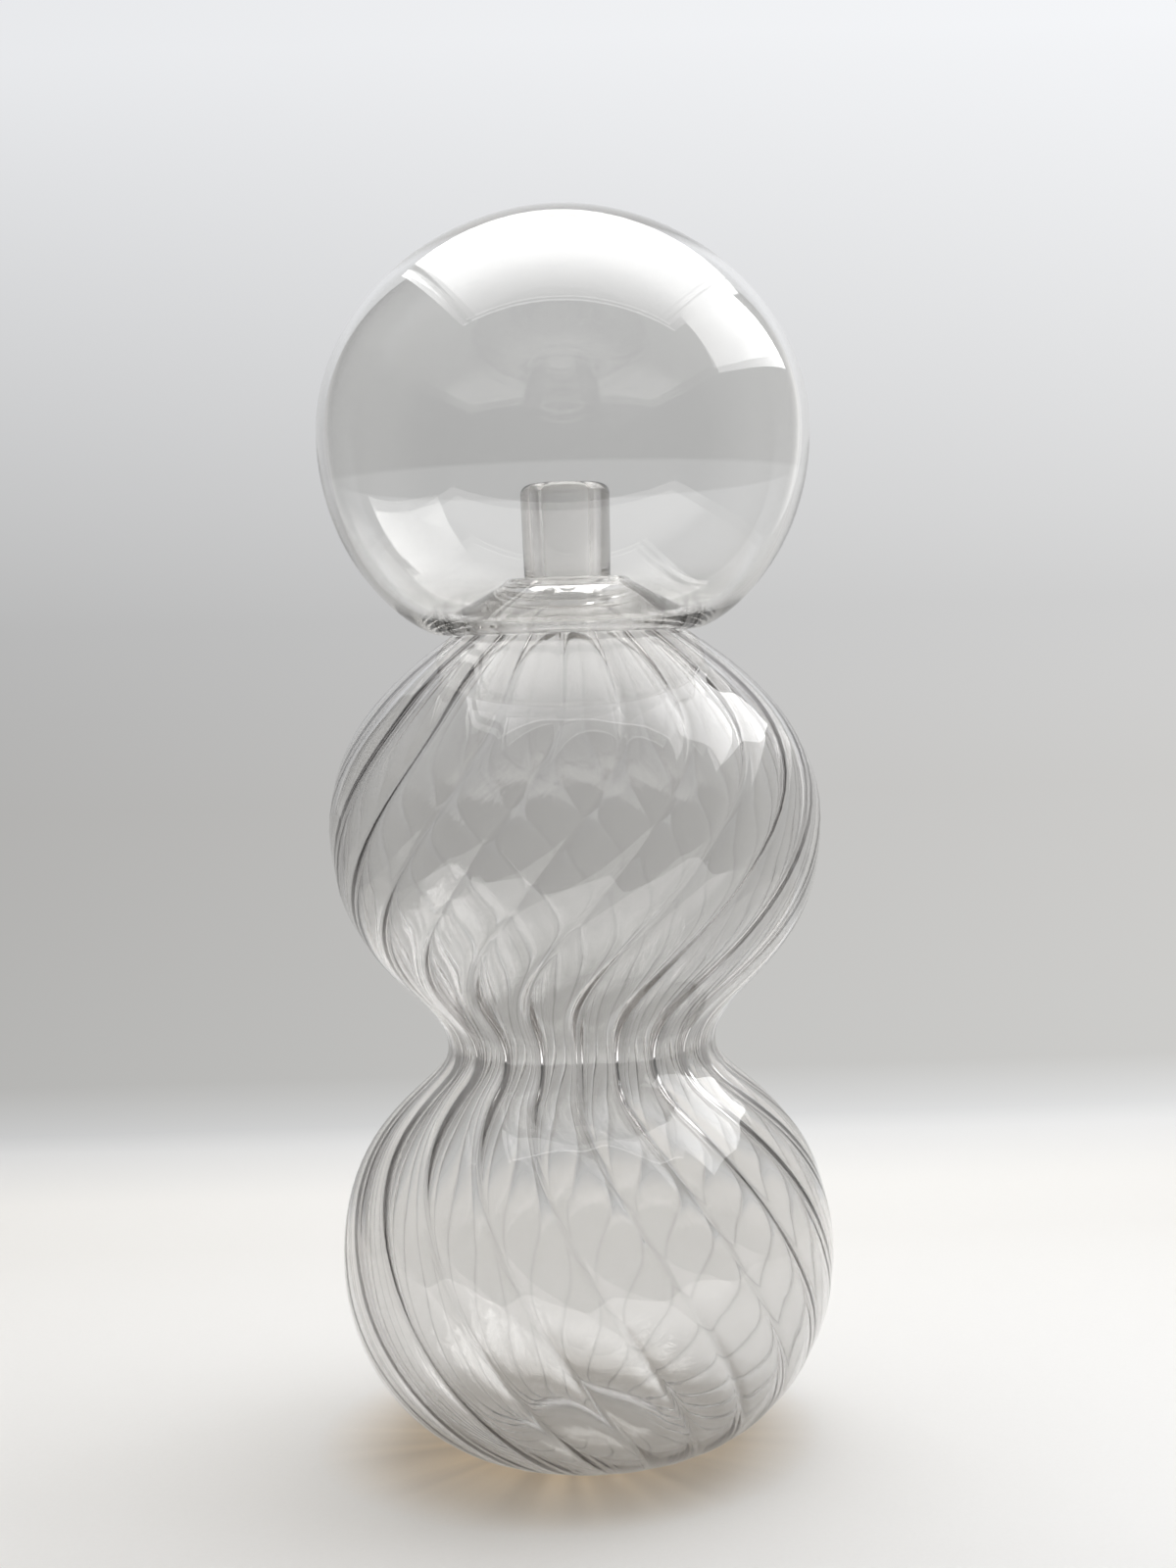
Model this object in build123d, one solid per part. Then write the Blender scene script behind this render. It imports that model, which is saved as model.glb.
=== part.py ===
"""Ribbed double gourd vase of clear blown glass, with a plain globe cover that lifts off its neck.

Millimetres, +Z up. The origin is the centre of the foot, on the surface that the vase stands on.
The front of the vase faces -Y, and angles about the axis are counted from the front towards +X.
"""
import os
from math import cos, radians, sin, sqrt, tan

from build123d import *

# Glass walls
GOURD_WALL = 3.2
GLOBE_WALL = 3.2

# Widest circles: the three bulbs match, but for the small differences of work by hand
UPPER_RADIUS = 76.2
LOWER_EXCESS = 0.8
GLOBE_SHORTFALL = 0.7
LOWER_RADIUS = UPPER_RADIUS + LOWER_EXCESS
GLOBE_RADIUS = UPPER_RADIUS - GLOBE_SHORTFALL

# Lower bulb: the foot ring, the pushed-up base and the curves to the widest circle
FOOT_RADIUS = 33.0
FOOT_SPREAD = 20.0
PUNT_RADIUS = 25.0
PUNT_RISE = 5.5
LOWER_EQUATOR = 57.0
LOWER_BELLY = 30.5
LOWER_CROWN = 49.5

# Waist between the bulbs
WAIST_RADIUS = 41.8
WAIST_HEIGHT = 125.0
WAIST_BEND_BELOW = 13.8
WAIST_BEND_ABOVE = 17.5

# Upper bulb: the curves to the widest circle, and the plane where the neck is joined on
UPPER_EQUATOR = 193.5
UPPER_BELLY = 45.0
UPPER_CROWN = 48.5
SHOULDER_TOP = 268.0
SHOULDER_BEND = 6.5

# Neck tube
NECK_RADIUS = 13.3
NECK_FLARE = 0.5
NECK_WALL = 6.4
NECK_LENGTH = 31.0

# Optic ribs, and how far they turn from the waist to each end
RIB_COUNT = 20
RIB_CREASE = 0.5
RIB_RIDGE = 1.2
RIB_PHASE = -1.0
UPPER_TWIST = 66.0
LOWER_TWIST = 64.0
LOWER_TWIST_EASE = 1.4
RIB_FADE = 8
STATIONS = 24

# Globe cover
GLOBE_BELLY_DEPTH = 61.3
GLOBE_CROWN_HEIGHT = 68.3
GLOBE_BELLY = 40.5
GLOBE_CROWN = 37.0
GLOBE_TOP_SPREAD = 38.5
LIP_RADIUS = 38.3
LIP_SPREAD = 8.6
LIP_BEND = 4.6

# Collar inside the globe
COLLAR_SLOPE = 34.0
COLLAR_SEAM_RISE = 5.0
COLLAR_GAP = 1.7
RING_RADIUS = 2.1

# Gap between the resting globe and the shoulder, measured straight up
SEAT_GAP = 0.4


def point(radius, height):
    """A point of a turned outline, in the plane through the axis."""
    return Vector(radius, 0, height)


def lower_outline(inset):
    """Outline of the lower bulb from the waist down to the foot, moved in by the inset."""
    waist = WAIST_RADIUS - inset
    bulb = LOWER_RADIUS - inset
    foot = FOOT_RADIUS - inset / 2
    crown = Bezier(
        point(waist, WAIST_HEIGHT),
        point(waist, WAIST_HEIGHT - WAIST_BEND_BELOW - inset / 2),
        point(bulb, LOWER_EQUATOR + LOWER_CROWN),
        point(bulb, LOWER_EQUATOR),
    )
    belly = Bezier(
        point(bulb, LOWER_EQUATOR),
        point(bulb, LOWER_EQUATOR - LOWER_BELLY),
        point(foot + FOOT_SPREAD, inset),
        point(foot, inset),
    )
    return Wire([crown, belly])


def upper_outline(inset, neck):
    """Outline of the upper bulb from the waist up to the neck, moved in by the inset."""
    waist = WAIST_RADIUS - inset
    bulb = UPPER_RADIUS - inset
    belly = Bezier(
        point(waist, WAIST_HEIGHT),
        point(waist, WAIST_HEIGHT + WAIST_BEND_ABOVE + inset / 2),
        point(bulb, UPPER_EQUATOR - UPPER_BELLY),
        point(bulb, UPPER_EQUATOR),
    )
    crown = Bezier(
        point(bulb, UPPER_EQUATOR),
        point(bulb, UPPER_EQUATOR + UPPER_CROWN - inset / 2),
        point(neck, SHOULDER_TOP - SHOULDER_BEND - inset),
        point(neck, SHOULDER_TOP),
    )
    return Wire([belly, crown])


def lower_turn(share):
    """Turn of the ribs at a share of the way from the waist to the foot: slow at first, then steady."""
    return LOWER_TWIST * share**LOWER_TWIST_EASE


def upper_turn(share):
    """Turn of the ribs at a share of the way from the waist to the neck: quickest under the equator."""
    return UPPER_TWIST * (1 - (1 - share) ** 2) ** 2


def lobed_ring(radius, height, turn, crease):
    """A closed ring with one bulging arc over each panel, the arcs meeting at the ribs."""
    pitch = 360 / RIB_COUNT

    def spot(distance, step):
        angle = radians(RIB_PHASE + turn + step * pitch)
        return Vector(distance * sin(angle), -distance * cos(angle), height)

    arcs = []
    for rib in range(RIB_COUNT):
        start = spot(radius - crease, rib)
        middle = spot(radius, rib + 0.5)
        end = spot(radius - crease, rib + 1)
        arcs.append(ThreePointArc(start, middle, end))
    return Wire(arcs)


def ribbed_form(outline, turn_at, crease_at):
    """Solid form with twisted ribs, through lobed rings at even steps along the outline."""
    rings = []
    for step in range(STATIONS + 1):
        share = step / STATIONS
        spot = outline @ share
        rings.append(lobed_ring(spot.X, spot.Z, turn_at(share), crease_at(share)))
    return Solid.make_loft(rings)


def make_lower_bulb():
    """Ribbed lower bulb, open at the waist, with a flat foot ring and a pushed-up base."""
    outside = ribbed_form(lower_outline(0), lower_turn, lambda share: RIB_CREASE)
    inside = ribbed_form(lower_outline(GOURD_WALL), lower_turn, lambda share: RIB_RIDGE)
    punt_ball = (PUNT_RADIUS**2 + PUNT_RISE**2) / (2 * PUNT_RISE)
    centre = Pos(0, 0, PUNT_RISE - punt_ball)
    hollow = inside - centre * Sphere(punt_ball + GOURD_WALL)
    return outside - hollow - centre * Sphere(punt_ball)


def make_upper_bulb():
    """Ribbed upper bulb, open at the waist and at the neck, where the ribs have faded out."""

    def fading(depth):
        return lambda share: depth * (1 - share**RIB_FADE)

    outside = ribbed_form(upper_outline(0, NECK_RADIUS), upper_turn, fading(RIB_CREASE))
    bore = NECK_RADIUS - NECK_WALL
    inside = ribbed_form(upper_outline(GOURD_WALL, bore), upper_turn, fading(RIB_RIDGE))
    return outside - inside


def make_neck_tube():
    """Plain tube, a little wider at the top, with a rounded fire-polished rim."""
    bore = NECK_RADIUS - NECK_WALL
    rim = SHOULDER_TOP + NECK_LENGTH - NECK_WALL / 2
    outer_rim = point(NECK_RADIUS + NECK_FLARE, rim)
    inner_rim = point(bore + NECK_FLARE, rim)
    crest = point(bore + NECK_FLARE + NECK_WALL / 2, SHOULDER_TOP + NECK_LENGTH)
    outline = [
        Line(point(bore, SHOULDER_TOP), point(NECK_RADIUS, SHOULDER_TOP)),
        Line(point(NECK_RADIUS, SHOULDER_TOP), outer_rim),
        ThreePointArc(outer_rim, crest, inner_rim),
        Line(inner_rim, point(bore, SHOULDER_TOP)),
    ]
    return revolve(make_face(outline), Axis.Z)


def lip_underside(radius):
    """Height of the globe's underside above its lowest circle, from that circle inwards."""
    slope = radians(COLLAR_SLOPE)
    reach = LIP_RADIUS - radius
    if reach < LIP_BEND * sin(slope):
        return LIP_BEND - sqrt(LIP_BEND**2 - reach**2)
    bend_end = LIP_BEND * (1 - cos(slope))
    return bend_end + (reach - LIP_BEND * sin(slope)) * tan(slope)


def ring_centre_radius():
    """Radius of the collar ring's centre line, which goes round the neck with a gap."""
    return NECK_RADIUS + NECK_FLARE + COLLAR_GAP + RING_RADIUS


def seat_height():
    """Height at which the globe's lowest circle lies when the globe rests on the shoulder."""
    shoulder = upper_outline(0, NECK_RADIUS)
    samples = 400
    seat = 0.0
    for step in range(samples):
        spot = shoulder @ (step / samples)
        if spot.Z > UPPER_EQUATOR and ring_centre_radius() < spot.X < LIP_RADIUS:
            seat = max(seat, spot.Z - lip_underside(spot.X))
    return seat + SEAT_GAP


def lip_bend_end(radius_of_bend, lip):
    """Point where the lip's bend runs into the collar's straight slope."""
    slope = radians(COLLAR_SLOPE)
    return point(
        LIP_RADIUS - radius_of_bend * sin(slope),
        lip + LIP_BEND - radius_of_bend * cos(slope),
    )


def slope_point(start, height):
    """Point at a height on the collar's slope that begins at the start."""
    return point(start.X - (height - start.Z) / tan(radians(COLLAR_SLOPE)), height)


def globe_skin(inset, lip):
    """One skin of the globe, from the top of its crown to the seam in the collar's slope."""
    equator = lip + GLOBE_BELLY_DEPTH
    top = equator + GLOBE_CROWN_HEIGHT - inset
    side = GLOBE_RADIUS - inset
    low = lip + inset
    bend = LIP_BEND - inset
    bend_start = point(LIP_RADIUS, low)
    half_slope = radians(COLLAR_SLOPE / 2)
    bend_middle = point(LIP_RADIUS - bend * sin(half_slope), lip + LIP_BEND - bend * cos(half_slope))
    bend_end = lip_bend_end(bend, lip)
    seam = slope_point(bend_end, lip + COLLAR_SEAM_RISE)
    return [
        Bezier(
            point(0, top),
            point(GLOBE_TOP_SPREAD, top),
            point(side, equator + GLOBE_CROWN),
            point(side, equator),
        ),
        Bezier(
            point(side, equator),
            point(side, equator - GLOBE_BELLY),
            point(LIP_RADIUS + LIP_SPREAD, low),
            bend_start,
        ),
        ThreePointArc(bend_start, bend_middle, bend_end),
        Line(bend_end, seam),
    ]


def make_globe(lip):
    """Plain closed globe whose bottom is turned in and up, as far as the seam of the collar."""
    outer = globe_skin(0, lip)
    inner = globe_skin(GLOBE_WALL, lip)
    seam = Line(outer[-1] @ 1, inner[-1] @ 1)
    crown = Line(inner[0] @ 0, outer[0] @ 0)
    return revolve(make_face(outer + [seam] + inner + [crown]), Axis.Z)


def make_globe_collar(lip):
    """Conical collar from the seam up to the thick rounded ring around the neck."""
    seam_height = lip + COLLAR_SEAM_RISE
    under = slope_point(lip_bend_end(LIP_BEND, lip), seam_height)
    over = slope_point(lip_bend_end(LIP_BEND - GLOBE_WALL, lip), seam_height)
    ring = ring_centre_radius()
    rise = tan(radians(COLLAR_SLOPE))
    ring_height = seam_height + ((under.X + over.X) / 2 - ring) * rise
    wall_outline = Polyline(
        under,
        over,
        point(ring, seam_height + (over.X - ring) * rise),
        point(ring, seam_height + (under.X - ring) * rise),
        close=True,
    )
    cone = revolve(make_face(wall_outline), Axis.Z)
    return cone + Pos(0, 0, ring_height) * Torus(ring, RING_RADIUS)


def main():
    """Build every piece and write it to its own file."""
    lip = seat_height()
    pieces = {
        "lower_bulb": make_lower_bulb(),
        "upper_bulb": make_upper_bulb(),
        "neck_tube": make_neck_tube(),
        "globe": make_globe(lip),
        "globe_collar": make_globe_collar(lip),
    }
    os.makedirs("parts", exist_ok=True)
    for name, piece in pieces.items():
        export_step(piece, f"parts/{name}.step")
    print(f"globe seat at {lip:.2f} mm, neck rim at {SHOULDER_TOP + NECK_LENGTH:.2f} mm")


main()
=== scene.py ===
"""Ribbed double gourd vase of clear blown glass, with a plain globe cover that lifts off its neck.

Metres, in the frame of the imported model: +Z up along the axis, the front facing -Y.
"""
from collections import namedtuple
from math import atan2, cos, exp, hypot, pi, radians, sin, sqrt, tan

import bmesh
import bpy
from mathutils import Matrix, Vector
from mathutils.geometry import interpolate_bezier


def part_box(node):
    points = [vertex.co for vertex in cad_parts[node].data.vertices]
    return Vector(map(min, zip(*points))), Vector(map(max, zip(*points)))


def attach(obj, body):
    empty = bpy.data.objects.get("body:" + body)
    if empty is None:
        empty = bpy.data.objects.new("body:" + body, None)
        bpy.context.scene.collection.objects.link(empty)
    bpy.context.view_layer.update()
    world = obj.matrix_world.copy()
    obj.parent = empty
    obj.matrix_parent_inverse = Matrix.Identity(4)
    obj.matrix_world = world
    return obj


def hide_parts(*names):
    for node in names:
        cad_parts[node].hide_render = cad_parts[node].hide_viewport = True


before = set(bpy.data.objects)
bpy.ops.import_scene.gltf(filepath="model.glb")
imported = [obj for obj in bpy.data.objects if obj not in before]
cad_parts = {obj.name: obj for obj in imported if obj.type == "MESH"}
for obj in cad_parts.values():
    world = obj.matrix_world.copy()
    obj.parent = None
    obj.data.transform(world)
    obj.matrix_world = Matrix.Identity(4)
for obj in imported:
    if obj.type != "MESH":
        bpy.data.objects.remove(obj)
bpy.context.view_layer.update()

MM = 0.001

# Heights that the frame gives
WAIST_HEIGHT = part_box("lower_bulb")[1].z
SHOULDER_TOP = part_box("neck_tube")[0].z
NECK_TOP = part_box("neck_tube")[1].z
LIP_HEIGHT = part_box("globe")[0].z
GLOBE_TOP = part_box("globe")[1].z
GLOBE_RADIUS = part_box("globe")[1].x

# Glass walls
GOURD_WALL = 3.2 * MM
GLOBE_WALL = 3.2 * MM

# Lower bulb
LOWER_RADIUS = 76.9 * MM
LOWER_EQUATOR = 57.0 * MM
LOWER_BELLY = 30.5 * MM
LOWER_CROWN = 49.5 * MM
FOOT_RADIUS = 33.0 * MM
FOOT_SPREAD = 20.0 * MM
PUNT_RADIUS = 25.0 * MM
PUNT_RISE = 5.5 * MM

# Waist
WAIST_RADIUS = 41.8 * MM
WAIST_BEND_BELOW = 13.8 * MM
WAIST_BEND_ABOVE = 17.5 * MM

# Upper bulb and neck
UPPER_RADIUS = 76.1 * MM
UPPER_EQUATOR = 193.5 * MM
UPPER_BELLY = 45.0 * MM
UPPER_CROWN = 48.5 * MM
SHOULDER_BEND = 6.5 * MM
NECK_RADIUS = 13.3 * MM
NECK_FLARE = 0.5 * MM
NECK_WALL = 6.4 * MM

# Optic ribs: how deep they are pressed, how wide they are and how far they turn
RIB_COUNT = 20
RIB_CREASE = 0.30 * MM
CREASE_ROUND = 0.20
CREASE_GROWTH = 1.6
RIB_RIDGE = 2.4 * MM
RIDGE_WIDTH = 0.14
RIDGE_THINNING = 1.9
RIB_PHASE = radians(-1.0)
UPPER_TWIST = radians(52.0)
UPPER_TWIST_START = 0.06
UPPER_TWIST_END = 0.66
LOWER_TWIST = radians(66.0)
LOWER_TWIST_START = 0.08
LOWER_TWIST_EASE = 1.25
RIB_START_RADIUS = 14.0 * MM
RIB_FULL_RADIUS = 34.0 * MM

# Dark lines of painted shade along the ribs, in place of the dark that the ribs bend into the
# glass: their width, strength on the upper bulb, added strength at the waist with its reach and
# fade below and above, and strength where the glass is seen face on
PAINTED_LINE_WIDTH = 0.034
PAINTED_LINE_UPPER = 0.22
PAINTED_LINE_WAIST = 1.0
PAINTED_LINE_BELOW_WAIST = (50 * MM, 40 * MM)
PAINTED_LINE_ABOVE_WAIST = (22 * MM, 10 * MM)
PAINTED_LINE_FACING = 0.12

# Globe cover
GLOBE_EQUATOR = LIP_HEIGHT + 61.3 * MM
GLOBE_BELLY = 40.5 * MM
GLOBE_CROWN = 37.0 * MM
GLOBE_TOP_SPREAD = 38.5 * MM
LIP_RADIUS = 38.3 * MM
LIP_SPREAD = 8.6 * MM
LIP_BEND = 4.6 * MM
COLLAR_SLOPE = radians(34.0)
RING_CENTRE_RADIUS = 17.6 * MM
RING_RADIUS = 2.1 * MM

# Fineness of the meshes
PANEL_POINTS = 16
PANEL_CLUSTER = 0.90
GOURD_POINTS = RIB_COUNT * PANEL_POINTS
GLOBE_POINTS = 240
GLOBE_STEPS = 56
CURVE_STEPS = 26
ARC_STEPS = 10
POLE_RADIUS = 1.0 * MM

# Glass: light taken up per metre in red, green and blue, height of the ripples, tints of the skin,
# and the clouds, smears and waves in it
GOURD_SHADE = (15.0, 15.8, 16.2)
GLOBE_SHADE = (4.0, 4.2, 4.6)
GOURD_RIPPLE = 0.025 * MM
GLOBE_RIPPLE = 0.03 * MM
# The lower bulb's darker tint is painted shade, for the darker tone seen through it
LOWER_SHADED_TINT = (0.905, 0.902, 0.896, 1)
UPPER_TINT = (0.955, 0.954, 0.949, 1)
GLOBE_TINT = (0.885, 0.883, 0.875, 1)
CLOUD_TINT = (0.82, 0.818, 0.81, 1)
# Tint of painted light for the edges of the glass and the neck
PAINTED_LIGHT_TINT = (0.995, 0.995, 0.99, 1)
# Colour of the dark lines of painted shade along the ribs
PAINTED_RIB_SHADE = (0.07, 0.068, 0.064, 1)
TINT_CHANGE = 20 * MM
NECK_TINT_CHANGE = 4 * MM
CLOUD_SCALE = 22.0
CLOUD_SHARE = 0.3
SMEAR_SCALE = 60.0
SMEAR_START = 0.55
SMEAR_ROUGHNESS = 0.015
WAVE_SCALE = 35.0
FINE_WAVE_SCALE = 400.0
FINE_WAVE_SHARE = 0.02
GLASS_IOR = 1.5
LIGHT_BOUNCES = 80

# Sweep: the floor that bends up into the backdrop
FLOOR_DROP = 0.3 * MM
SWEEP_WIDTH = 1.26
FLOOR_FRONT = -0.48
SWEEP_BACK = 0.78
SWEEP_HEIGHT = 1.6
SWEEP_BEND = 0.36
SWEEP_SEGMENTS = 32

# Paper of the sweep: paler in front, greyer behind as painted shade where less light falls, with
# its own warm light painted in as a glow that lightens and warms its shadows
FRONT_PAPER = ((0.60, 0.62, 0.645, 1), (0.63, 0.65, 0.675, 1))
SHADED_BACK_PAPER = ((0.48, 0.49, 0.50, 1), (0.50, 0.51, 0.52, 1))
PAPER_GRAIN = 900.0
PAPER_CHANGE_START = -0.08
PAPER_CHANGE = 0.30
PAPER_LIGHT = 0.26
PAPER_WARMTH = (1.0, 0.9, 0.76, 1)

# Painted warm shadow and painted streaks of light round the foot, in place of the light that the
# glass throws there; only the camera sees them
GLOW_MIDDLE = (-0.008, 0.0, 0.0)
GLOW_REACH = 0.080
GLOW_FADE = 0.042
GLOW_SHADOW_COLOUR = (0.52, 0.44, 0.35, 1)
GLOW_WARMTH = (1.0, 0.76, 0.48, 1)
GLOW_SHADOW_SHARE = 0.6
GLOW_STREAKS = 6.0
GLOW_STREAK_MIDDLE = 0.53
GLOW_LIGHT = 0.30

# The bright floor in front, as the glass sees it
FRONT_LIGHT = 1.8
FRONT_COLOUR = (1.0, 0.99, 0.98, 1)
FRONT_LIGHT_START = -0.14
FRONT_LIGHT_FADE = 0.12

# The backdrop: shades at shares of the way along the sweep, and its gain per metre to the right
BACKDROP_START = 0.30
BACKDROP_FADE = 0.14
SHADES_START = 0.40
SHADES_LENGTH = 1.02
RIGHT_GAIN = 0.40
RIGHT_GAIN_LOSS = 0.24
RIGHT_LOSS_START = 0.95
RIGHT_LOSS_FADE = 0.45
BACKDROP_SHADES = [
    (0.0, (0.74, 0.745, 0.75)),
    (0.12, (0.54, 0.537, 0.525)),
    (0.45, (0.53, 0.525, 0.515)),
    (0.62, (0.56, 0.56, 0.56)),
    (1.0, (0.86, 0.87, 0.89)),
]

# The roof of light over the vase: bright behind, dimmer towards its front edge, with two gaps
ROOF_HEIGHT = 0.95
ROOF_LEFT = -0.48
ROOF_RIGHT = 0.64
ROOF_FRONT = -0.30
ROOF_BACK = 0.74
ROOF_LIGHT = 3.6
ROOF_FADE = 0.33
ROOF_LEAST = 0.25
ROOF_EDGE = 0.015
ROOF_EDGE_FADE = 4 * MM
ROOF_EDGE_LIGHT = 0.6
LEFT_GAP = ROOF_LEFT + 0.052
LEFT_GAP_HALF = 0.020
LEFT_GAP_SHADE = 0.85
RIGHT_GAP = 0.54
RIGHT_GAP_HALF = 0.007
RIGHT_GAP_SHADE = 0.5

# The bright wall at the right, below the roof
PANEL_SIDE = ROOF_RIGHT + 0.5 * MM
PANEL_LOW = 0.56
PANEL_FRONT = -0.16
PANEL_BACK = 0.56
PANEL_LIGHT = 5.0
PANEL_LEAST = 0.65

# The room round the sweep
ROOM_COLOUR = (1, 0.995, 0.985)
ROOM_LIGHT = 0.13
ROOM_BEHIND = 0.45
ROOM_BEHIND_SLOPE = 0.14
ROOM_RIGHT = 0.45
ROOM_LEFT = 0.25

# Where the room's lighter sides begin, by direction, and how far they take to come in
BEHIND_START = 0.72
BEHIND_FADE = 0.08
BESIDE_START = -0.35
BESIDE_FADE = 0.5
RIGHT_START = 0.35
RIGHT_FADE = 0.25
LEFT_START = -0.45
LEFT_FADE = 0.3

# Camera
CAMERA_DISTANCE = 0.675
CAMERA_HEIGHT = 0.2523
CAMERA_SIDE = 4.36 * MM
CAMERA_PITCH = radians(3.99)
CAMERA_ROLL = radians(-1.77)
LENS = 50.0
SENSOR_WIDTH = 36.0

Ring = namedtuple("Ring", "radius height turn")


# Outlines

def curve(start, start_handle, end_handle, end, steps=CURVE_STEPS):
    """Points (radius, height) of a smooth curve between two points with their handles."""
    knots = [(radius, 0, height) for radius, height in (start, start_handle, end_handle, end)]
    return [(spot.x, spot.z) for spot in interpolate_bezier(*knots, steps)]


def arc(centre, radius, first, last, steps=ARC_STEPS):
    """Points of an arc in the outline's plane, between two angles counted from outwards to up."""
    points = []
    for step in range(steps + 1):
        angle = first + (last - first) * step / steps
        points.append((centre[0] + radius * cos(angle), centre[1] + radius * sin(angle)))
    return points


def shares(points):
    """Share of the way along an outline at each of its points."""
    lengths = [0.0]
    for before, after in zip(points, points[1:]):
        lengths.append(lengths[-1] + hypot(after[0] - before[0], after[1] - before[1]))
    return [length / lengths[-1] for length in lengths]


def lower_outline(inset):
    """Outline of the lower bulb from the waist down to the foot, moved in by the inset."""
    waist = WAIST_RADIUS - inset
    bulb = LOWER_RADIUS - inset
    foot = FOOT_RADIUS - inset / 2
    crown = curve(
        (waist, WAIST_HEIGHT),
        (waist, WAIST_HEIGHT - WAIST_BEND_BELOW - inset / 2),
        (bulb, LOWER_EQUATOR + LOWER_CROWN),
        (bulb, LOWER_EQUATOR),
    )
    belly = curve(
        (bulb, LOWER_EQUATOR),
        (bulb, LOWER_EQUATOR - LOWER_BELLY),
        (foot + FOOT_SPREAD, inset),
        (foot, inset),
    )
    return crown + belly[1:]


def upper_outline(inset, neck):
    """Outline of the upper bulb from the waist up to the neck, moved in by the inset."""
    waist = WAIST_RADIUS - inset
    bulb = UPPER_RADIUS - inset
    belly = curve(
        (waist, WAIST_HEIGHT),
        (waist, WAIST_HEIGHT + WAIST_BEND_ABOVE + inset / 2),
        (bulb, UPPER_EQUATOR - UPPER_BELLY),
        (bulb, UPPER_EQUATOR),
    )
    crown = curve(
        (bulb, UPPER_EQUATOR),
        (bulb, UPPER_EQUATOR + UPPER_CROWN - inset / 2),
        (neck, SHOULDER_TOP - SHOULDER_BEND - inset),
        (neck, SHOULDER_TOP),
    )
    return belly + crown[1:]


def eased(reach):
    """A smooth step from 0 to 1."""
    reach = min(max(reach, 0.0), 1.0)
    return reach * reach * (3 - 2 * reach)


def lower_turn(share):
    """Turn of the ribs at a share of the way from the waist to the foot: late, then steady."""
    reach = max(0.0, share - LOWER_TWIST_START) / (1 - LOWER_TWIST_START)
    return LOWER_TWIST * reach**LOWER_TWIST_EASE


def upper_turn(share):
    """Turn of the ribs at a share of the way from waist to neck: quickest under the equator."""
    reach = (share - UPPER_TWIST_START) / (UPPER_TWIST_END - UPPER_TWIST_START)
    return UPPER_TWIST * eased(reach)


def turned(points, turn_at):
    """Rings through the points of an outline, each with the turn of its ribs."""
    return [Ring(*point, turn_at(share)) for point, share in zip(points, shares(points))]


def plain(points, turn=0.0):
    """Rings through points that all have the same turn."""
    return [Ring(*point, turn) for point in points]


def dome(ball, centre_height, edge):
    """Points of a shallow dome, from beside the axis out to its edge."""
    points = []
    for step in range(ARC_STEPS + 1):
        radius = POLE_RADIUS + (edge - POLE_RADIUS) * step / ARC_STEPS
        points.append((radius, centre_height + sqrt(ball**2 - radius**2)))
    return points


def gourd_outer_rings():
    """Rings of the outer skin, from under the base up to the crest of the neck's rim."""
    ball = (PUNT_RADIUS**2 + PUNT_RISE**2) / (2 * PUNT_RISE)
    under = plain(dome(ball, PUNT_RISE - ball, PUNT_RADIUS), LOWER_TWIST)
    lower = turned(lower_outline(0), lower_turn)[::-1]
    upper = turned(upper_outline(0, NECK_RADIUS), upper_turn)
    rim_centre = (NECK_RADIUS + NECK_FLARE - NECK_WALL / 2, NECK_TOP - NECK_WALL / 2)
    rim = plain(arc(rim_centre, NECK_WALL / 2, 0, pi / 2), UPPER_TWIST)
    return under + lower + upper[1:] + rim


def gourd_inner_rings():
    """Rings of the inner skin, from inside the neck's rim down to the middle of the floor."""
    bore = NECK_RADIUS - NECK_WALL
    rim_centre = (bore + NECK_FLARE + NECK_WALL / 2, NECK_TOP - NECK_WALL / 2)
    rim = plain(arc(rim_centre, NECK_WALL / 2, pi / 2, pi), UPPER_TWIST)
    upper = turned(upper_outline(GOURD_WALL, bore), upper_turn)[::-1]
    lower = turned(lower_outline(GOURD_WALL), lower_turn)
    ball = (PUNT_RADIUS**2 + PUNT_RISE**2) / (2 * PUNT_RISE)
    centre_height = PUNT_RISE - ball
    inner_ball = ball + GOURD_WALL
    floor_edge = sqrt(inner_ball**2 - (GOURD_WALL - centre_height) ** 2)
    floor = plain(dome(inner_ball, centre_height, floor_edge), LOWER_TWIST)[::-1]
    return rim[1:] + upper + lower[1:] + floor


def globe_skin(inset):
    """Points of one skin of the globe, from beside its top down to the collar's straight slope."""
    side = GLOBE_RADIUS - inset
    top = GLOBE_TOP - inset
    low = LIP_HEIGHT + inset
    crown = curve(
        (0, top),
        (GLOBE_TOP_SPREAD, top),
        (side, GLOBE_EQUATOR + GLOBE_CROWN),
        (side, GLOBE_EQUATOR),
        GLOBE_STEPS,
    )
    belly = curve(
        (side, GLOBE_EQUATOR),
        (side, GLOBE_EQUATOR - GLOBE_BELLY),
        (LIP_RADIUS + LIP_SPREAD, low),
        (LIP_RADIUS, low),
        GLOBE_STEPS,
    )
    bend_centre = (LIP_RADIUS, LIP_HEIGHT + LIP_BEND)
    bend = arc(bend_centre, LIP_BEND - inset, -pi / 2, -pi / 2 - COLLAR_SLOPE)
    return [(POLE_RADIUS, top)] + crown[1:] + belly[1:] + bend[1:]


def collar_ring():
    """Points round the thick ring at the collar's end, from its underside to its upper side."""
    middle = LIP_BEND - GLOBE_WALL / 2
    bend_radius = LIP_RADIUS - middle * sin(COLLAR_SLOPE)
    bend_height = LIP_HEIGHT + LIP_BEND - middle * cos(COLLAR_SLOPE)
    height = bend_height + (bend_radius - RING_CENTRE_RADIUS) * tan(COLLAR_SLOPE)
    inwards = pi - COLLAR_SLOPE
    opening = pi - atan2(GLOBE_WALL / 2, sqrt(RING_RADIUS**2 - (GLOBE_WALL / 2) ** 2))
    centre = (RING_CENTRE_RADIUS, height)
    return arc(centre, RING_RADIUS, inwards + opening, inwards - opening, 2 * ARC_STEPS)


# Glass work

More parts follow.
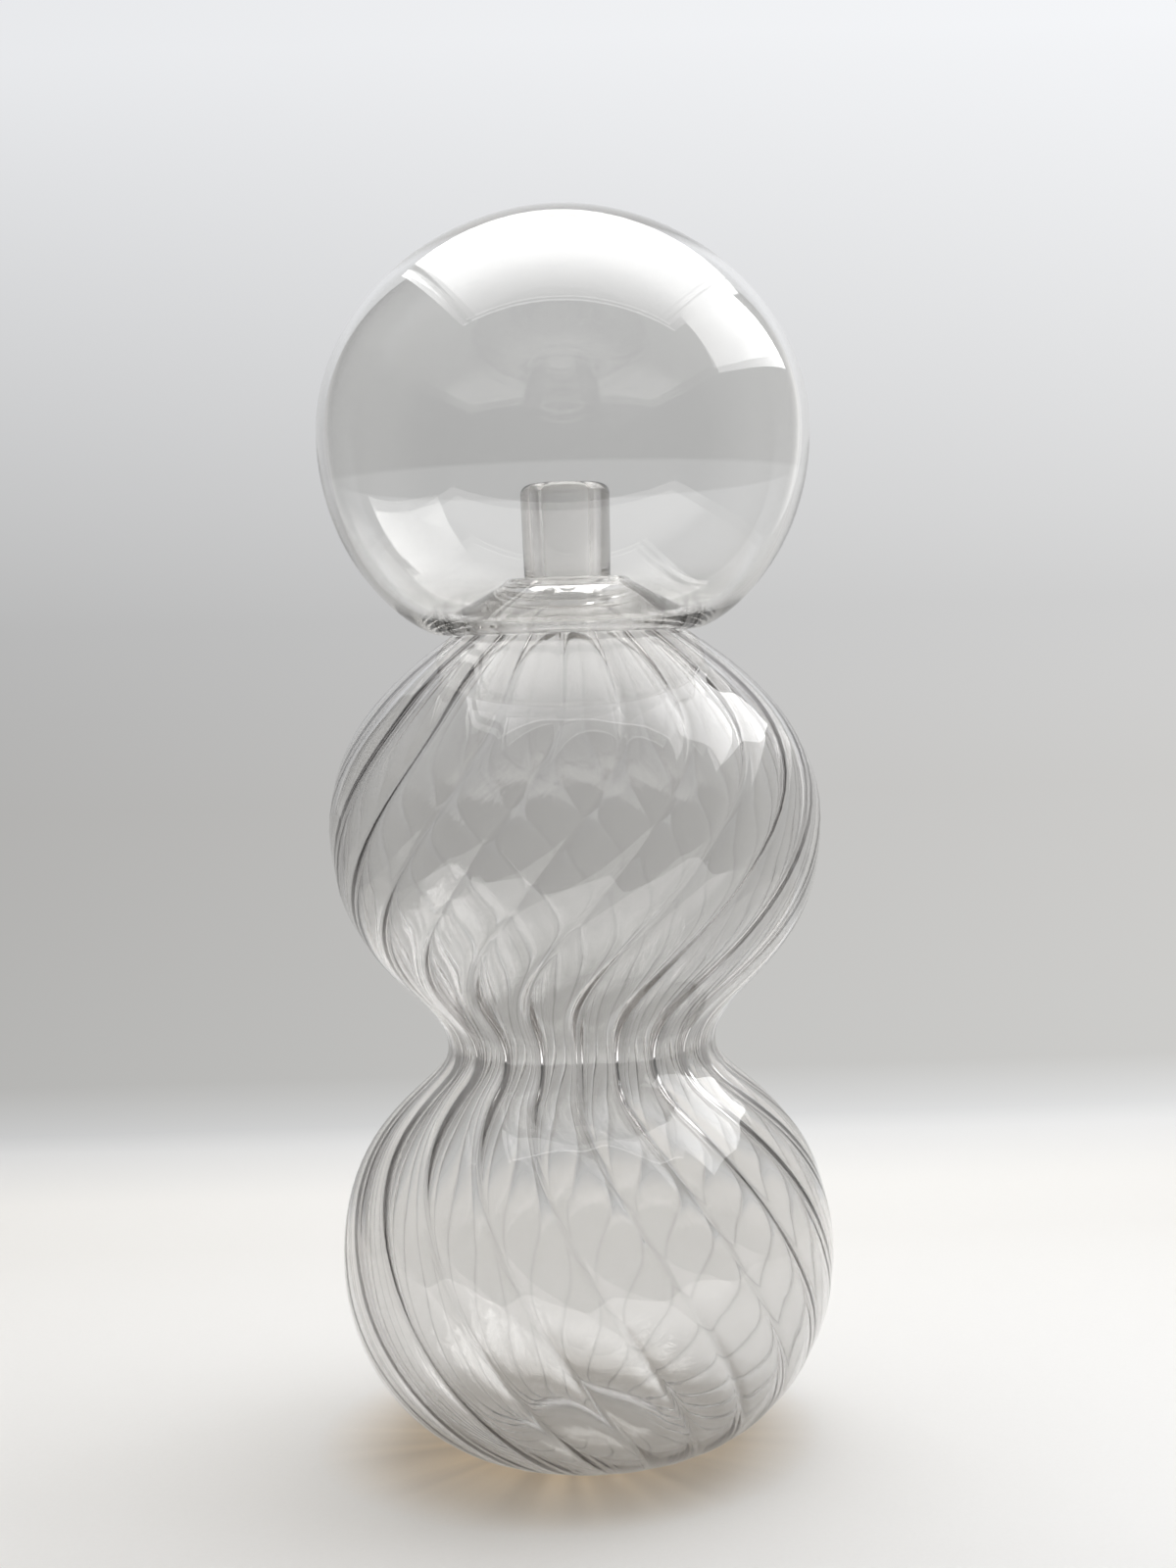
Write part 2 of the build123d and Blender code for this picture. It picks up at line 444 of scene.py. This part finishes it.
def start_glass(name, points, ring):
    """Begins a piece of glass as one ring round the axis."""
    bpy.ops.object.select_all(action="DESELECT")
    bpy.ops.mesh.primitive_circle_add(vertices=points, radius=ring.radius)
    piece = bpy.context.object
    piece.name = name
    bpy.ops.object.mode_set(mode="EDIT")
    bpy.ops.mesh.select_all(action="SELECT")
    turn_ring(ring.turn, 0.0)
    bpy.ops.transform.translate(value=(0, 0, ring.height))
    bpy.ops.object.mode_set(mode="OBJECT")
    return piece


def turn_ring(angle, height):
    """Turns what is selected about the axis, from the front towards +X."""
    bpy.ops.transform.rotate(value=-angle, orient_axis="Z", center_override=(0, 0, height))


def draw_glass(piece, rings):
    """Draws the piece on from its first ring through all the others."""
    bpy.ops.object.mode_set(mode="EDIT")
    bpy.ops.mesh.select_all(action="SELECT")
    for before, ring in zip(rings, rings[1:]):
        bpy.ops.mesh.extrude_edges_move(
            TRANSFORM_OT_translate={"value": (0, 0, ring.height - before.height)}
        )
        grow = ring.radius / before.radius
        bpy.ops.transform.resize(value=(grow, grow, 1), center_override=(0, 0, ring.height))
        if ring.turn != before.turn:
            turn_ring(ring.turn - before.turn, ring.height)
    bpy.ops.object.mode_set(mode="OBJECT")


def close_poles(piece):
    """Closes the small rings on the axis to points, and turns every face outwards."""
    bpy.ops.object.mode_set(mode="EDIT")
    bpy.ops.mesh.select_all(action="DESELECT")
    mesh = bmesh.from_edit_mesh(piece.data)
    for vertex in mesh.verts:
        vertex.select = hypot(vertex.co.x, vertex.co.y) < 1.01 * POLE_RADIUS
    mesh.select_flush(True)
    bmesh.update_edit_mesh(piece.data)
    bpy.ops.mesh.merge(type="COLLAPSE")
    bpy.ops.mesh.select_all(action="SELECT")
    bpy.ops.mesh.normals_make_consistent(inside=False)
    bpy.ops.object.mode_set(mode="OBJECT")
    bpy.ops.object.shade_smooth()


# Ribs

def panel_share(vertex, turn):
    """Place of a vertex of the first ring between one rib, 0, and the next, 1."""
    angle = atan2(vertex.co.x, -vertex.co.y) - turn - RIB_PHASE
    return angle / (2 * pi / RIB_COUNT) % 1.0


def gather_points(piece, turn):
    """Moves the points of the first ring towards the ribs, where the glass bends most."""
    mesh = piece.data
    pitch = 2 * pi / RIB_COUNT
    for step in range(PANEL_POINTS):
        even = step / PANEL_POINTS
        shift = -PANEL_CLUSTER * sin(2 * pi * even) / (2 * pi)
        bpy.ops.object.mode_set(mode="OBJECT")
        for vertex in mesh.vertices:
            offset = (panel_share(vertex, turn) - even + 0.5) % 1.0 - 0.5
            vertex.select = abs(offset) < 0.1 / PANEL_POINTS
        bpy.ops.object.mode_set(mode="EDIT")
        turn_ring(shift * pitch, 0.0)
    bpy.ops.object.mode_set(mode="OBJECT")


def crease_depth(nearest):
    """Depth of a rounded crease between bulging panels, 1 on the rib and 0 midway between ribs."""
    if nearest < CREASE_ROUND:
        return 1 - 2 * nearest**2 / CREASE_ROUND
    return 2 * (0.5 - nearest) ** 2 / (0.5 - CREASE_ROUND)


def mark_ribs(piece, turn):
    """Gives the first ring the section of the ribs, as weights that every later ring takes over."""
    crease = piece.vertex_groups.new(name="crease")
    fold = piece.vertex_groups.new(name="fold")
    ridge = piece.vertex_groups.new(name="ridge")
    # Weights for the dark lines of painted shade along the ribs
    line = piece.vertex_groups.new(name="line")
    for vertex in piece.data.vertices:
        share = panel_share(vertex, turn)
        nearest = min(share, 1 - share)
        crease.add([vertex.index], crease_depth(nearest), "REPLACE")
        fold.add([vertex.index], crease_depth(nearest), "REPLACE")
        ridge.add([vertex.index], exp(-nearest / RIDGE_WIDTH), "REPLACE")
        line.add([vertex.index], exp(-nearest / PAINTED_LINE_WIDTH), "REPLACE")


def ridge_height(radius, height):
    """Height of the ridges: full at the waist, low on the bulbs, lower still towards the foot."""
    if height > UPPER_EQUATOR:
        return (WAIST_RADIUS / UPPER_RADIUS) ** RIDGE_THINNING
    if height < LOWER_EQUATOR:
        return (WAIST_RADIUS / UPPER_RADIUS) ** RIDGE_THINNING * radius / UPPER_RADIUS
    return min(1.0, WAIST_RADIUS / radius) ** RIDGE_THINNING


def line_strength(height):
    """Strength of the ribs' dark lines of painted shade: full up to the waist, weaker on the upper
    bulb.
    """
    reach = eased((height - WAIST_HEIGHT) / (UPPER_EQUATOR - WAIST_HEIGHT))
    return 1 - reach * (1 - PAINTED_LINE_UPPER)


def fade_ribs(piece, outer_count):
    """Keeps creases to the outer skin, the rest to the inner one, and fades all near the axis."""
    names = {group.index: group.name for group in piece.vertex_groups}
    for vertex in piece.data.vertices:
        radius = hypot(vertex.co.x, vertex.co.y)
        fade = eased((radius - RIB_START_RADIUS) / (RIB_FULL_RADIUS - RIB_START_RADIUS))
        deepened = fade * min(1.0, radius / UPPER_RADIUS) ** CREASE_GROWTH
        thinned = fade * ridge_height(radius, vertex.co.z)
        outside = vertex.index < outer_count
        # The dark lines of painted shade go on the inner skin only
        inner = {"fold": deepened, "ridge": thinned, "line": fade * line_strength(vertex.co.z)}
        kept = {"crease": deepened} if outside else inner
        for share in vertex.groups:
            share.weight *= kept.get(names[share.group], 0.0)


def press(piece, group, depth):
    """Moves the skin along its normal by the depth, where the group has weight."""
    modifier = piece.modifiers.new(group, "DISPLACE")
    modifier.vertex_group = group
    modifier.strength = depth
    modifier.mid_level = 0.0
    bpy.ops.object.modifier_apply(modifier=modifier.name)


def waist_share(height):
    """1 at the waist, going down to 0 on both bulbs, more slowly on the lower one."""
    below_end, below_fade = PAINTED_LINE_BELOW_WAIST
    above_end, above_fade = PAINTED_LINE_ABOVE_WAIST
    above = height - WAIST_HEIGHT
    return eased((above + below_end) / below_fade) * eased((above_end - above) / above_fade)


def keep_lines(piece):
    """Keeps the weights of the ribs' dark lines of painted shade as an attribute that the glass
    reads.
    """
    group = piece.vertex_groups["line"].index
    weights = []
    for vertex in piece.data.vertices:
        weight = sum(share.weight for share in vertex.groups if share.group == group)
        weights.append(weight * (1 + PAINTED_LINE_WAIST * waist_share(vertex.co.z)))
    piece.data.attributes.new("rib", "FLOAT", "POINT").data.foreach_set("value", weights)


def make_gourd():
    """The vase: two ribbed bulbs and the neck, one wall of glass from the foot to the rim."""
    outer = gourd_outer_rings()
    rings = outer + gourd_inner_rings()
    first = rings[0]._replace(turn=rings[0].turn + RIB_PHASE)
    gourd = start_glass("gourd_glass", GOURD_POINTS, first)
    gather_points(gourd, rings[0].turn)
    mark_ribs(gourd, rings[0].turn)
    draw_glass(gourd, rings)
    fade_ribs(gourd, len(outer) * GOURD_POINTS)
    close_poles(gourd)
    press(gourd, "crease", -RIB_CREASE)
    press(gourd, "fold", RIB_CREASE)
    press(gourd, "ridge", RIB_RIDGE)
    keep_lines(gourd)
    gourd.vertex_groups.clear()
    return gourd


def make_globe():
    """The globe cover: a closed ball whose bottom is turned in to a collar with a thick ring."""
    rings = plain(globe_skin(0) + collar_ring() + globe_skin(GLOBE_WALL)[::-1])
    globe = start_glass("globe_glass", GLOBE_POINTS, rings[0])
    draw_glass(globe, rings)
    close_poles(globe)
    return globe


# Shader graphs

class Value:
    """A shader socket that can be used in sums; each operator adds its Math node."""

    def __init__(self, graph, socket):
        self.graph = graph
        self.socket = socket

    def math(self, operation, first, second):
        return self.graph.node("ShaderNodeMath", {"operation": operation}, {0: first, 1: second})

    def __add__(self, other):
        return self.math("ADD", self, other)

    def __radd__(self, other):
        return self.math("ADD", other, self)

    def __sub__(self, other):
        return self.math("SUBTRACT", self, other)

    def __rsub__(self, other):
        return self.math("SUBTRACT", other, self)

    def __mul__(self, other):
        return self.math("MULTIPLY", self, other)

    def __rmul__(self, other):
        return self.math("MULTIPLY", other, self)

    def __truediv__(self, other):
        return self.math("DIVIDE", self, other)

    def clamped(self):
        return self.graph.node("ShaderNodeClamp", {}, {0: self})


class Graph:
    """The nodes of one material or of the world."""

    def __init__(self, tree):
        self.tree = tree
        tree.nodes.clear()

    def node(self, kind, settings=None, inputs=None, output=0):
        """Adds a node with its settings and its sockets' values or links, and gives one output."""
        made = self.tree.nodes.new(kind)
        for name, value in (settings or {}).items():
            if name == "stops":
                self.set_stops(made.color_ramp, value)
            else:
                setattr(made, name, value)
        for key, value in (inputs or {}).items():
            if isinstance(value, Value):
                self.tree.links.new(value.socket, made.inputs[key])
            else:
                made.inputs[key].default_value = value
        return Value(self, made.outputs[output]) if made.outputs else None

    def set_stops(self, ramp, stops):
        while len(ramp.elements) < len(stops):
            ramp.elements.new(1.0)
        for element, (place, colour) in zip(ramp.elements, stops):
            element.position = place
            element.color = (*colour, 1)

    def coordinates(self):
        return self.node("ShaderNodeTexCoord", output="Object")

    def part(self, vector, axis):
        return self.node("ShaderNodeSeparateXYZ", {}, {0: vector}, axis)

    def noise(self, vector, scale, detail):
        inputs = {"Vector": vector, "Scale": scale, "Detail": detail}
        return self.node("ShaderNodeTexNoise", {}, inputs)

    def mix(self, factor, first, second):
        settings = {"data_type": "RGBA"}
        return self.node("ShaderNodeMix", settings, {0: factor, 6: first, 7: second}, 2)

    def scaled(self, colour, amount):
        settings = {"operation": "SCALE"}
        return self.node("ShaderNodeVectorMath", settings, {0: colour, "Scale": amount})

    def output(self, kind, shaders):
        """Adds the output node and links the shaders to it."""
        self.node(kind, {}, shaders)


def new_material(name):
    material = bpy.data.materials.new(name)
    material.use_nodes = True
    return material, Graph(material.node_tree)


def blown_glass(name, shade, low_tint, high_tint, ripple):
    """Clear, slightly grey glass, rippled and polished: darker where light has far to go in it."""
    material, graph = new_material(name)
    place = graph.coordinates()
    height = graph.part(place, "Z")
    clouds = graph.noise(place, CLOUD_SCALE, 1.0)
    # Darker below the waist than above it; on the vase this is painted shade on the lower bulb
    tint = graph.mix(((height - WAIST_HEIGHT) / TINT_CHANGE).clamped(), low_tint, high_tint)
    tint = graph.mix(CLOUD_SHARE * clouds, tint, CLOUD_TINT)
    grazing = graph.node("ShaderNodeLayerWeight", {}, {"Blend": 0.5}, "Facing")
    # Clearer at grazing angles and on the neck: painted light that lightens the edges of the glass
    # and its neck
    above_shoulder = ((height - SHOULDER_TOP) / (2 * NECK_TINT_CHANGE) + 0.5).clamped()
    neck = above_shoulder * ((NECK_TOP + MM - height) / MM).clamped()
    colour = graph.mix((grazing * grazing + neck).clamped(), tint, PAINTED_LIGHT_TINT)
    # Painted shade: dark lines along the ribs, darker still where the glass is seen at a grazing
    # angle
    rib = graph.node("ShaderNodeAttribute", {"attribute_name": "rib"}, {}, "Fac")
    colour = graph.mix((rib * (PAINTED_LINE_FACING + grazing)).clamped(), colour, PAINTED_RIB_SHADE)
    smears = graph.noise(place, SMEAR_SCALE, 3.0)
    roughness = (smears - SMEAR_START).clamped() * SMEAR_ROUGHNESS
    fine_waves = graph.noise(place, FINE_WAVE_SCALE, 1.0)
    waves = graph.noise(place, WAVE_SCALE, 1.0) + fine_waves * FINE_WAVE_SHARE
    bump = graph.node("ShaderNodeBump", {}, {"Strength": 1.0, "Distance": ripple, "Height": waves})
    glass = graph.node(
        "ShaderNodeBsdfPrincipled",
        {},
        {
            "Base Color": colour,
            "Roughness": roughness,
            "IOR": GLASS_IOR,
            "Transmission Weight": 1.0,
            "Normal": bump,
        },
    )
    densest = max(shade)
    passed = [1 - channel / densest / 2 for channel in shade]
    inside = graph.node(
        "ShaderNodeVolumeAbsorption", {}, {"Color": (*passed, 1), "Density": 2 * densest}
    )
    graph.output("ShaderNodeOutputMaterial", {"Surface": glass, "Volume": inside})
    return material


# Stage, light and camera

def start_sheet(name, width, depth, centre):
    """Begins a flat sheet of the stage, left in edit mode with all of it selected."""
    bpy.ops.object.select_all(action="DESELECT")
    bpy.ops.mesh.primitive_plane_add(size=1.0)
    sheet = bpy.context.object
    sheet.name = name
    bpy.ops.object.mode_set(mode="EDIT")
    bpy.ops.transform.resize(value=(width, depth, 1), center_override=(0, 0, 0))
    bpy.ops.transform.translate(value=centre)
    return sheet


def select_edges(piece, wanted):
    """Selects the edges whose middle is where the test says."""
    bpy.ops.mesh.select_all(action="DESELECT")
    bpy.ops.mesh.select_mode(type="EDGE")
    mesh = bmesh.from_edit_mesh(piece.data)
    for edge in mesh.edges:
        centre = (edge.verts[0].co + edge.verts[1].co) / 2
        edge.select = wanted(centre)
    mesh.select_flush_mode()
    bmesh.update_edit_mesh(piece.data)


def make_sweep():
    """A pale floor that bends up into the backdrop."""
    middle = (SWEEP_BACK + FLOOR_FRONT) / 2
    sweep = start_sheet("sweep", SWEEP_WIDTH, SWEEP_BACK - FLOOR_FRONT, (0, middle, -FLOOR_DROP))
    select_edges(sweep, lambda centre: centre.y > SWEEP_BACK - MM)
    bpy.ops.mesh.extrude_edges_move(TRANSFORM_OT_translate={"value": (0, 0, SWEEP_HEIGHT)})
    select_edges(sweep, lambda centre: centre.y > SWEEP_BACK - MM and centre.z < MM)
    bpy.ops.mesh.bevel(offset=SWEEP_BEND, segments=SWEEP_SEGMENTS, profile=0.5)
    bpy.ops.object.mode_set(mode="OBJECT")
    bpy.ops.object.shade_smooth()
    sweep.data.materials.append(pale_paper("pale_paper"))


def floor_paper(graph, place, direct):
    """Matt paper that takes the shadow, with warm shade and light from the glass painted round the
    foot.
    """
    forward = graph.part(place, "Y")
    grain = graph.noise(place, PAPER_GRAIN, 2.0)
    # Paler in front and greyer behind: painted shade for the light that falls off towards the back
    lit_paper = graph.mix(grain, *FRONT_PAPER)
    shaded_paper = graph.mix(grain, *SHADED_BACK_PAPER)
    paper = graph.mix(((forward - PAPER_CHANGE_START) / PAPER_CHANGE).clamped(), lit_paper, shaded_paper)
    off_foot = graph.node(
        "ShaderNodeVectorMath", {"operation": "SUBTRACT"}, {0: place, 1: GLOW_MIDDLE}
    )
    reach = graph.node("ShaderNodeVectorMath", {"operation": "LENGTH"}, {0: off_foot}, "Value")
    outward = graph.node("ShaderNodeVectorMath", {"operation": "NORMALIZE"}, {0: off_foot})
    # Painted warm shadow and painted streaks of light round the foot, seen by the camera only
    near = direct * ((GLOW_REACH - reach) / GLOW_FADE).clamped()
    streaks = graph.noise(outward, GLOW_STREAKS, 1.0)
    warmth = graph.mix(near, PAPER_WARMTH, GLOW_WARMTH)
    glow = near * (streaks - GLOW_STREAK_MIDDLE) * GLOW_LIGHT
    # The paper glows with painted warm light everywhere, which lightens and warms its shadows
    return graph.node(
        "ShaderNodeBsdfPrincipled",
        {},
        {
            "Base Color": graph.mix(near * GLOW_SHADOW_SHARE, paper, GLOW_SHADOW_COLOUR),
            "Roughness": 1.0,
            "Specular IOR Level": 0.0,
            "Emission Color": graph.scaled(warmth, PAPER_LIGHT + glow),
            "Emission Strength": 1.0,
        },
    )


def backdrop_light(graph, place, along):
    """The backdrop, which shades from its foot to its top and is a little brighter at the right."""
    share = ((along - SHADES_START) / SHADES_LENGTH).clamped()
    shade = graph.node("ShaderNodeValToRGB", {"stops": BACKDROP_SHADES}, {"Fac": share})
    high = ((along - RIGHT_LOSS_START) / RIGHT_LOSS_FADE).clamped()
    side = 1.0 + graph.part(place, "X") * (RIGHT_GAIN - RIGHT_GAIN_LOSS * high)
    return graph.node("ShaderNodeEmission", {}, {"Color": graph.scaled(shade, side)})


def pale_paper(name):
    """The floor and the backdrop of the sweep, clear from behind so that it hides no view."""
    material, graph = new_material(name)
    place = graph.coordinates()
    forward = graph.part(place, "Y")
    along = forward + graph.part(place, "Z")
    direct = graph.node("ShaderNodeLightPath", output="Is Camera Ray")
    by_glass = graph.node("ShaderNodeLightPath", output="Is Glossy Ray")
    by_glass = by_glass + graph.node("ShaderNodeLightPath", output="Is Transmission Ray")
    matt = floor_paper(graph, place, direct)
    front_light = {"Color": FRONT_COLOUR, "Strength": FRONT_LIGHT}
    lit_front = graph.node("ShaderNodeEmission", {}, front_light)
    front = by_glass * ((FRONT_LIGHT_START - forward) / FRONT_LIGHT_FADE).clamped()
    floor = graph.node("ShaderNodeMixShader", {}, {0: front, 1: matt, 2: lit_front})
    wall = (direct + by_glass) * ((along - BACKDROP_START) / BACKDROP_FADE).clamped()
    backdrop = backdrop_light(graph, place, along)
    both = graph.node("ShaderNodeMixShader", {}, {0: wall, 1: floor, 2: backdrop})
    from_behind = graph.node("ShaderNodeNewGeometry", output="Backfacing")
    clear = graph.node("ShaderNodeBsdfTransparent")
    one_sided = graph.node("ShaderNodeMixShader", {}, {0: from_behind, 1: both, 2: clear})
    graph.output("ShaderNodeOutputMaterial", {"Surface": one_sided})
    return material


def band(place, middle, half_width):
    """1 within a band with soft edges, 0 outside it."""
    rising = ((place - middle + half_width) / (0.4 * half_width)).clamped()
    return rising * ((middle + half_width - place) / (0.4 * half_width)).clamped()


def light_sheet(sheet, graph, material, strength):
    """Gives a sheet a white light of a strength that changes over it."""
    glow = graph.node("ShaderNodeEmission", {}, {"Color": graph.scaled((1, 1, 1), strength)})
    graph.output("ShaderNodeOutputMaterial", {"Surface": glow})
    sheet.data.materials.append(material)


def make_roof():
    """The roof of light over the vase."""
    centre = ((ROOF_LEFT + ROOF_RIGHT) / 2, (ROOF_FRONT + ROOF_BACK) / 2, ROOF_HEIGHT)
    roof = start_sheet("roof_light", ROOF_RIGHT - ROOF_LEFT, ROOF_BACK - ROOF_FRONT, centre)
    bpy.ops.object.mode_set(mode="OBJECT")
    material, graph = new_material("roof_light")
    place = graph.coordinates()
    forward = graph.part(place, "Y")
    across = graph.part(place, "X")
    body = ROOF_LEAST + (1 - ROOF_LEAST) * ((forward - ROOF_FRONT) / ROOF_FADE).clamped()
    edge = ((ROOF_FRONT + ROOF_EDGE - forward) / ROOF_EDGE_FADE).clamped()
    left_gap = band(across, LEFT_GAP, LEFT_GAP_HALF)
    right_gap = band(across, RIGHT_GAP, RIGHT_GAP_HALF)
    open_share = 1.0 - LEFT_GAP_SHADE * left_gap - RIGHT_GAP_SHADE * right_gap
    strength = ROOF_LIGHT * (body + ROOF_EDGE_LIGHT * edge) * open_share
    light_sheet(roof, graph, material, strength)


def make_side_light():
    """The bright wall at the right, which hangs from the roof and is dimmer towards the front."""
    height = ROOF_HEIGHT - PANEL_LOW
    centre = (PANEL_SIDE, (PANEL_FRONT + PANEL_BACK) / 2, (ROOF_HEIGHT + PANEL_LOW) / 2)
    panel = start_sheet("side_light", height, PANEL_BACK - PANEL_FRONT, centre)
    bpy.ops.transform.rotate(value=pi / 2, orient_axis="Y", center_override=centre)
    bpy.ops.object.mode_set(mode="OBJECT")
    material, graph = new_material("side_light")
    forward = graph.part(graph.coordinates(), "Y")
    fade = ((forward - PANEL_FRONT) / (PANEL_BACK - PANEL_FRONT)).clamped()
    strength = PANEL_LIGHT * (PANEL_LEAST + (1 - PANEL_LEAST) * fade)
    light_sheet(panel, graph, material, strength)


def light_room():
    """The room round the sweep: pale behind the vase and at its sides, dark in front of it."""
    world = bpy.data.worlds.new("room")
    bpy.context.scene.world = world
    world.use_nodes = True
    graph = Graph(world.node_tree)
    direction = graph.node("ShaderNodeTexCoord", output="Generated")
    side = graph.part(direction, "X")
    depth = graph.part(direction, "Y")
    beside = ((depth - BESIDE_START) / BESIDE_FADE).clamped()
    behind = ((depth - BEHIND_START) / BEHIND_FADE).clamped()
    behind = behind * (ROOM_BEHIND + ROOM_BEHIND_SLOPE * side)
    right = ((side - RIGHT_START) / RIGHT_FADE).clamped() * beside * ROOM_RIGHT
    left = ((LEFT_START - side) / LEFT_FADE).clamped() * beside * ROOM_LEFT
    strength = ROOM_LIGHT + behind + right + left
    room = graph.node("ShaderNodeBackground", {}, {"Color": graph.scaled(ROOM_COLOUR, strength)})
    graph.output("ShaderNodeOutputWorld", {"Surface": room})


def place_camera():
    """A camera a little above the waist, looking slightly down and leaning a little."""
    data = bpy.data.cameras.new("camera")
    data.lens = LENS
    data.sensor_width = SENSOR_WIDTH
    camera = bpy.data.objects.new("camera", data)
    bpy.context.scene.collection.objects.link(camera)
    tilt = Matrix.Rotation(pi / 2 - CAMERA_PITCH, 3, "X")
    lean = Matrix.Rotation(CAMERA_ROLL, 3, "Z")
    camera.location = (CAMERA_SIDE, -CAMERA_DISTANCE, CAMERA_HEIGHT)
    camera.rotation_euler = (tilt @ lean).to_euler()
    bpy.context.scene.camera = camera


def dress(piece, material, body, slot, *nodes):
    """Gives a piece its material and its body, and hides the nodes that it stands for; the slot is
    not used.
    """
    piece.data.materials.clear()
    piece.data.materials.append(material)
    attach(piece, body)
    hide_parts(*nodes)


gourd_finish = blown_glass("vase_glass", GOURD_SHADE, LOWER_SHADED_TINT, UPPER_TINT, GOURD_RIPPLE)
globe_finish = blown_glass("globe_glass", GLOBE_SHADE, GLOBE_TINT, GLOBE_TINT, GLOBE_RIPPLE)
dress(make_gourd(), gourd_finish, "vase", "vase_glass", "lower_bulb", "upper_bulb", "neck_tube")
dress(make_globe(), globe_finish, "globe_cover", "globe_glass", "globe", "globe_collar")
make_sweep()
make_roof()
make_side_light()
light_room()
place_camera()
bpy.context.scene.view_settings.view_transform = "Standard"
bpy.context.scene.cycles.max_bounces = LIGHT_BOUNCES
bpy.context.scene.cycles.transmission_bounces = LIGHT_BOUNCES
bpy.context.scene.cycles.glossy_bounces = LIGHT_BOUNCES
